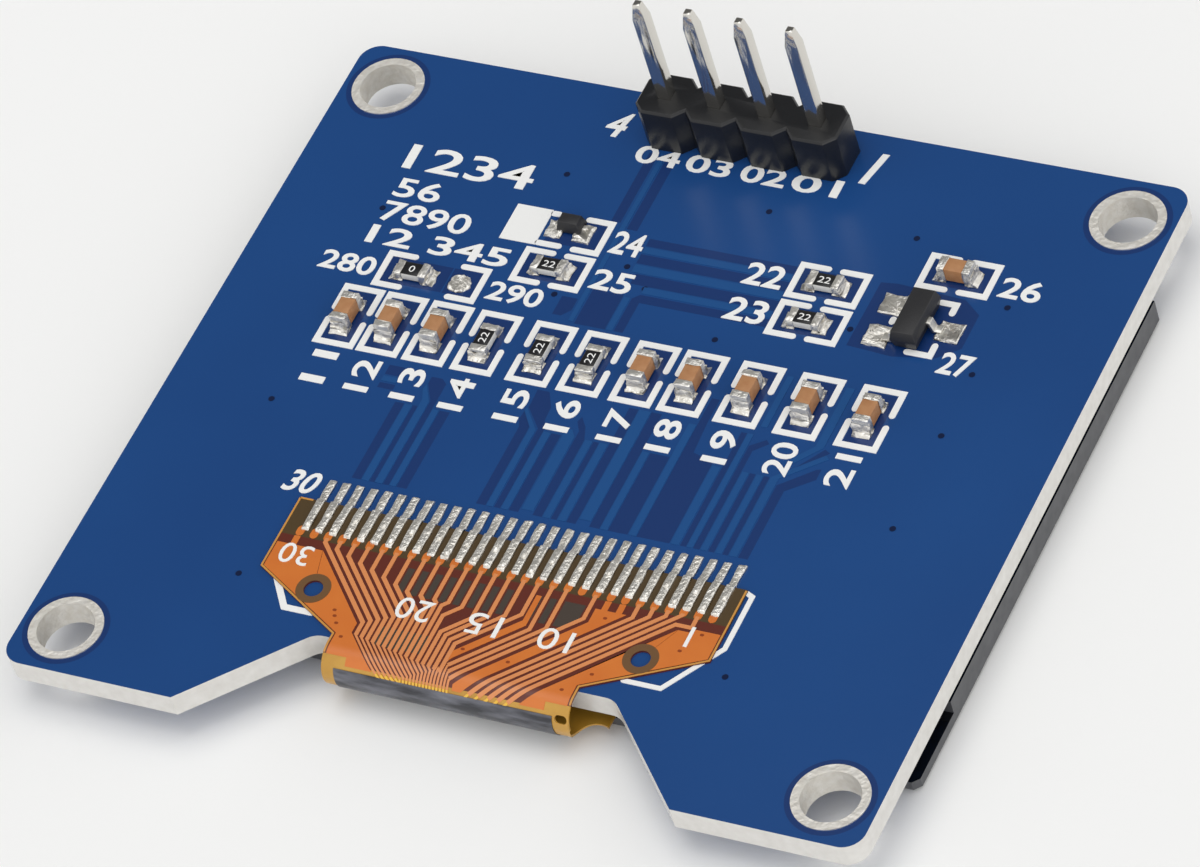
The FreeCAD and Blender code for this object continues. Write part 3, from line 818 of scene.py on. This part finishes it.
planes = [
    [(-11.4, -9.8), (-9.1, -9.8), (-5.72, -13.18), (-5.72, -13.72), (-4.06, -15.38), (-5.4, -15.38),
     (-5.4, -14.99), (-6.42, -14.99), (-6.42, -13.9), (-11.4, -11.2)],
    [(1.54, -9.75), (1.8, -9.75), (1.8, -11.44), (-0.62, -13.86), (-0.79, -14.1), (-0.79, -13.53),
     (1.54, -11.2)],
    [(4.45, -9.8), (5.95, -9.8), (2.75, -13.0), (0.33, -15.42), (-0.1, -15.42), (-0.1, -15.13),
     (2.03, -13.0), (4.45, -10.58)],
    [(8.55, -10.0), (9.3, -10.0), (9.3, -9.8), (10.5, -9.8), (10.5, -11.17), (5.45, -13.9),
     (5.45, -15.0), (4.4, -15.0), (4.4, -15.38), (3.17, -15.38)],
]
plane_hole = hole_rim - 0.05
plane_rise = 0.012
planes[0] = pierced(planes[0], hole_places[0], plane_hole)
planes[3] = pierced(planes[3], hole_places[1], plane_hole)
on_tail("copper_planes", planes, plane_rise, plane_finish)
pad_reach = 0.2
pad_width = 0.38
pad_rise = 0.016
strip_foot = -9.82
strip_width = 0.3
pad_ends = [widened([(x, line_head + pad_reach), (x, line_head)], pad_width) for x in pad_x]
pad_ends += [widened([(pad_x[i], line_head - pad_reach), (pad_x[i], strip_foot)], strip_width, False)
             for i in (0, 22, 23)]
on_tail("copper_pad_ends", pad_ends, pad_rise, plane_finish)

# Past the cover film the lines lie bare and are plated with gold. Their bright gold band round the
# bend, a row of sparks, is a painted glint where the bend faces the light.
gold_glint_finish = new_finish("copper_gold_plated_painted_glint", "#F2C25A", roughness=0.25, metallic=1.0)[0]
wide_gold_glint = 0.12
fine_middle = -1.5
fine_half = 1.4
gold_glint_rise = 0.03
gold_glint_widths = [fine_line if abs(path[0][0] - fine_middle) < fine_half else wide_gold_glint
               for path in gold_glint_paths]
gold_glint_outlines = [widened(path, width, False) for path, width in zip(gold_glint_paths, gold_glint_widths)]
on_tail("gold_fingers_painted_glint", gold_glint_outlines, gold_glint_rise, gold_glint_finish)

# Between some lines the film holds no copper on either side and lets the dark board show through.
bare_finish = new_finish("polyimide_film_over_dark", "#40352C", roughness=0.35, IOR=1.6)[0]
window_head = -9.75
window_foot = -11.15
window_rise = 0.006
beside_line = 0.19
beside_pillar = 0.1
windows = [band(pad_x[i] + beside_line, pad_x[i + 1] - beside_line, window_foot, window_head)
           for i in range(8, 19) if i != 16]
windows.append([(pad_x[19] + 0.2, window_head), (pad_x[21] - 0.2, window_head),
                (pad_x[21] - 0.2, -10.5), (pad_x[19] + 0.75, window_foot),
                (pad_x[19] + 0.2, window_foot)])
windows += [band(pillar_first + pillar_step * k + beside_pillar,
                 pillar_first + pillar_step * (k + 1) - beside_pillar, -14.1, -13.05)
            for k in range(3, 11)]
on_tail("empty_film", windows, window_rise, bare_finish)

# Along the punched edge of the film, a pale strip is a painted highlight where the edge catches the
# light and looks paler than its face.
edge_highlight_finish = new_finish("polyimide_film_edge_painted_highlight", "#C98E3C", roughness=0.4, IOR=1.6)[0]
tail_rim = [[(-11.5, -7.25), (-11.5, -11.22), (-6.53, -13.95), (-6.53, -14.95)],
            [(10.6, -7.25), (10.6, -11.22), (5.56, -13.95), (5.56, -14.95)],
            [(-11.5, -7.25), (-10.85, -7.25)]]
rim_width = 0.09
rim_rise = 0.014
on_tail("film_edge_painted_highlights", [widened(path, rim_width, False) for path in tail_rim], rim_rise, edge_highlight_finish)

# Round the two locating holes the copper stands back, and the bare film looks brown.
collar_rise = 0.02
collars = [ring("collar", x, y, hole_radius, hole_rim, layer_low, tail_high.z + collar_rise, 40)
           for x, y in hole_places]
collar_piece = merged(collars, "hole_collars")
collar_finish = new_finish("polyimide_film_bare", "#6B4A26", roughness=0.35, IOR=1.6)[0]
finish_piece(collar_piece, collar_finish)

# The tail's own vias are dimples in the cover film, darker than the copper round them.
dimple_places = [(-7.05, -12.75), (-6.9, -13.05), (-6.65, -13.4), (-6.1, -14.05), (-0.4, -13.33),
                 (1.9, -13.5), (5.1, -10.2), (9.7, -10.0), (9.1, -11.05), (5.85, -13.2), (4.9, -14.3)]
dimple_width = 0.14
dimple_rise = 0.015
dimples = [widened([(x - 0.03, y), (x + 0.03, y)], dimple_width) for x, y in dimple_places]
dimple_finish = new_finish("copper_sunk_in_via", "#8E3F14", roughness=0.3)[0]
on_tail("tail_dimples", dimples, dimple_rise, dimple_finish)


# The tail is numbered like the board, head down, with the same white ink: its first and last
# contacts, and three steps of a scale across the middle.
tail_level = tail_high.z + 0.03
tail_numbers = [number(words, x0, x1, y0, y1, 180.0, weight=0.0, level=tail_level)
                for words, x0, x1, y0, y1 in (("30", -11.0, -9.47, -10.85, -9.75),
                                              ("1", 9.13, 9.3, -10.8, -9.7),
                                              ("20", -4.35, -2.65, -12.45, -11.3),
                                              ("15", -0.85, 0.75, -12.45, -11.3),
                                              ("10", 2.65, 4.25, -12.45, -11.3))]
tail_number_piece = merged(tail_numbers, "tail_numbers")
finish_piece(tail_number_piece, ink_finish)


# Each contact is soldered with a hot bar: a flat bright bead on the board's pad that steps up over
# the tail, with a small round lump on it. The lumps lie in two rows, by turns.
bead = copy_of(["tail_solder"], "contact_beads")
soften(bead, width=0.07, segments=3)
lump(bead, cuts=2, size=0.3, depth=0.05)
contact_first = -10.45
contact_step = 0.7
lump_shift = 0.04
lump_rows = (-8.6, -7.9)
lump_places = [(contact_first + contact_step * i + lump_shift, lump_rows[i % 2]) for i in range(30)]
bpy.ops.object.select_all(action="DESELECT")
bpy.ops.mesh.primitive_uv_sphere_add(segments=12, ring_count=8, radius=0.15,
                                     location=(0, 0, tail_high.z + 0.13))
drop = bpy.context.active_object
drop.scale = (0.9, 1.3, 0.6)
bpy.ops.object.transform_apply(location=True, rotation=True, scale=True)
bpy.ops.object.shade_smooth()
bead_piece = merged([bead] + copies(drop, lump_places), "contact_beads")
finish_piece(bead_piece, tin_finish)
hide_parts("tail_solder")


# The outside of the fold is stiffened with a dark rubbery coating. Its light and dark streaks along
# its length are a painted sheen.
coating_and_sheen_finish, coating_shader = new_finish("dark_rubber_coating_painted_sheen", "#45464E", roughness=0.38)
stretched = add_node(coating_and_sheen_finish, "ShaderNodeMapping", Vector=place_of(coating_and_sheen_finish),
                     Scale=(0.35, 1.6, 1.6))
# Noise stretched along the fold paints the streaks of sheen in lighter grey.
sheen_streaks = add_node(coating_and_sheen_finish, "ShaderNodeTexNoise", Vector=stretched.outputs["Vector"],
                   Scale=1 / (0.7 * MM), Detail=4.0)
sheen_contrast = add_node(coating_and_sheen_finish, "ShaderNodeMapRange", Value=sheen_streaks.outputs["Fac"], From_Min=0.35,
                    From_Max=0.68, To_Min=0.0, To_Max=1.0)
join(coating_and_sheen_finish, blend_colours(coating_and_sheen_finish, sheen_contrast.outputs["Result"], "#2C2D33", "#70717A"),
     coating_shader.inputs["Base Color"])
roughen(coating_and_sheen_finish, coating_shader, size=0.4, depth=0.015)
dress("fold_coating", coating_and_sheen_finish)


# The display is two sheets of glass, glued round their rim and ground at the edges, with the driver
# chip and the tail on the ledge of the front one. A dark polariser covers the front, and foam tape
# holds it to the board.
glass_finish, glass_shader = new_finish("display_glass_dark_polished", "#101216", roughness=0.06,
                                        IOR=1.52)
glass_facing = add_node(glass_finish, "ShaderNodeSeparateXYZ",
                        Vector=add_node(glass_finish, "ShaderNodeNewGeometry").outputs["Normal"])
glass_tilt = reckon(glass_finish, "ABSOLUTE", glass_facing.outputs["Z"])
polished = reckon(glass_finish, "GREATER_THAN", glass_tilt, 0.5)
ground_tone = blend_colours(glass_finish, grain_of(glass_finish, 0.6), "#3A3B3E", "#5A5B5E")
join(glass_finish, blend_colours(glass_finish, polished, ground_tone, "#0E1013"),
     glass_shader.inputs["Base Color"])
gloss = add_node(glass_finish, "ShaderNodeMapRange", Value=polished, From_Min=0.0, From_Max=1.0,
                 To_Min=0.45, To_Max=0.06)
join(glass_finish, gloss.outputs["Result"], glass_shader.inputs["Roughness"])
dress("cap_glass", glass_finish)
dress("front_glass", glass_finish)

polariser_finish, polariser_shader = new_finish("polariser_film_black_gloss", "#050608",
                                                roughness=0.05, IOR=1.5)
pixel_x = 17.53
pixel_low = -5.7
pixel_high = 11.8
plane_spot = add_node(polariser_finish, "ShaderNodeSeparateXYZ", Vector=place_of(polariser_finish))
side_reach = reckon(polariser_finish, "ABSOLUTE", plane_spot.outputs["X"])
inside_x = reckon(polariser_finish, "LESS_THAN", side_reach, pixel_x * MM)
above = reckon(polariser_finish, "GREATER_THAN", plane_spot.outputs["Y"], pixel_low * MM)
below = reckon(polariser_finish, "LESS_THAN", plane_spot.outputs["Y"], pixel_high * MM)
inside_y = reckon(polariser_finish, "MULTIPLY", above, below)
pixels = reckon(polariser_finish, "MULTIPLY", inside_x, inside_y)
join(polariser_finish, blend_colours(polariser_finish, pixels, "#050608", "#10131A"),
     polariser_shader.inputs["Base Color"])
dress("polariser_film", polariser_finish)

silicon_finish = new_finish("silicon_die_lapped", "#3A3D44", roughness=0.2, metallic=0.6)[0]
dress("driver_die", silicon_finish)
foam_finish, foam_shader = new_finish("black_foam_tape_matt", "#0B0B0C", roughness=0.95)
roughen(foam_finish, foam_shader, size=0.12, depth=0.03)
dress("adhesive_tape", foam_finish)
